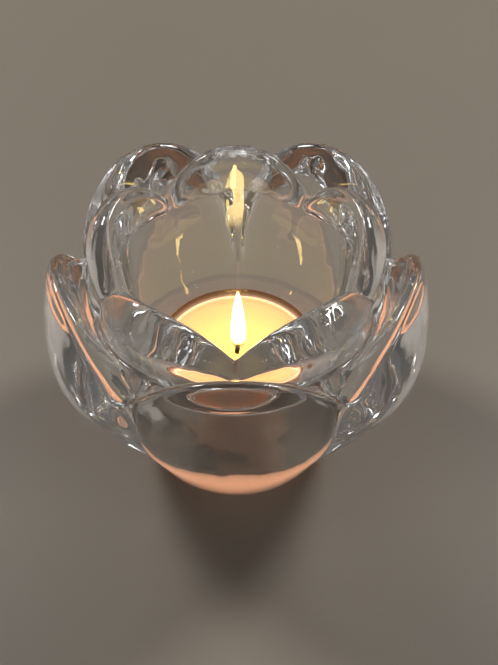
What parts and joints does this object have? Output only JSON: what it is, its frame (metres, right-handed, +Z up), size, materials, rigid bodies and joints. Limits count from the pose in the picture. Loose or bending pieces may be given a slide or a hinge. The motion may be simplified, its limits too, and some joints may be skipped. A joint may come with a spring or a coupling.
{
  "type": "votive candle holder",
  "caption": "Clear pressed glass lotus with a ring of outer and inner petals round a bowl that holds a tealight.",
  "frame": {"origin": "on the lotus's upright axis, in the plane of its foot", "axes": "+Z up along the axis of the bowl, -Y towards the middle of one outer petal, +X to the right of it"},
  "size_m": [0.089, 0.0873, 0.0686],
  "materials": {
    "clear_glass": "fire-polished, clear",
    "cup_plastic": "clear, thermoformed",
    "wax": "paraffin, molten at the top",
    "wick_cotton": "braided cotton, charred",
    "sustainer_steel": "tinned sheet"
  },
  "bodies": {
    "holder": {"glass_holder": "clear_glass"},
    "tealight": {"tealight_cup": "cup_plastic", "tealight_wax": "wax", "wick": "wick_cotton", "wick_sustainer": "sustainer_steel"}
  },
  "joints": [
    {"name": "tealight_lift", "type": "slide", "parent": "holder", "child": "tealight", "axis": [0, 0, 1], "range_m": [0, 0.06]}
  ]
}
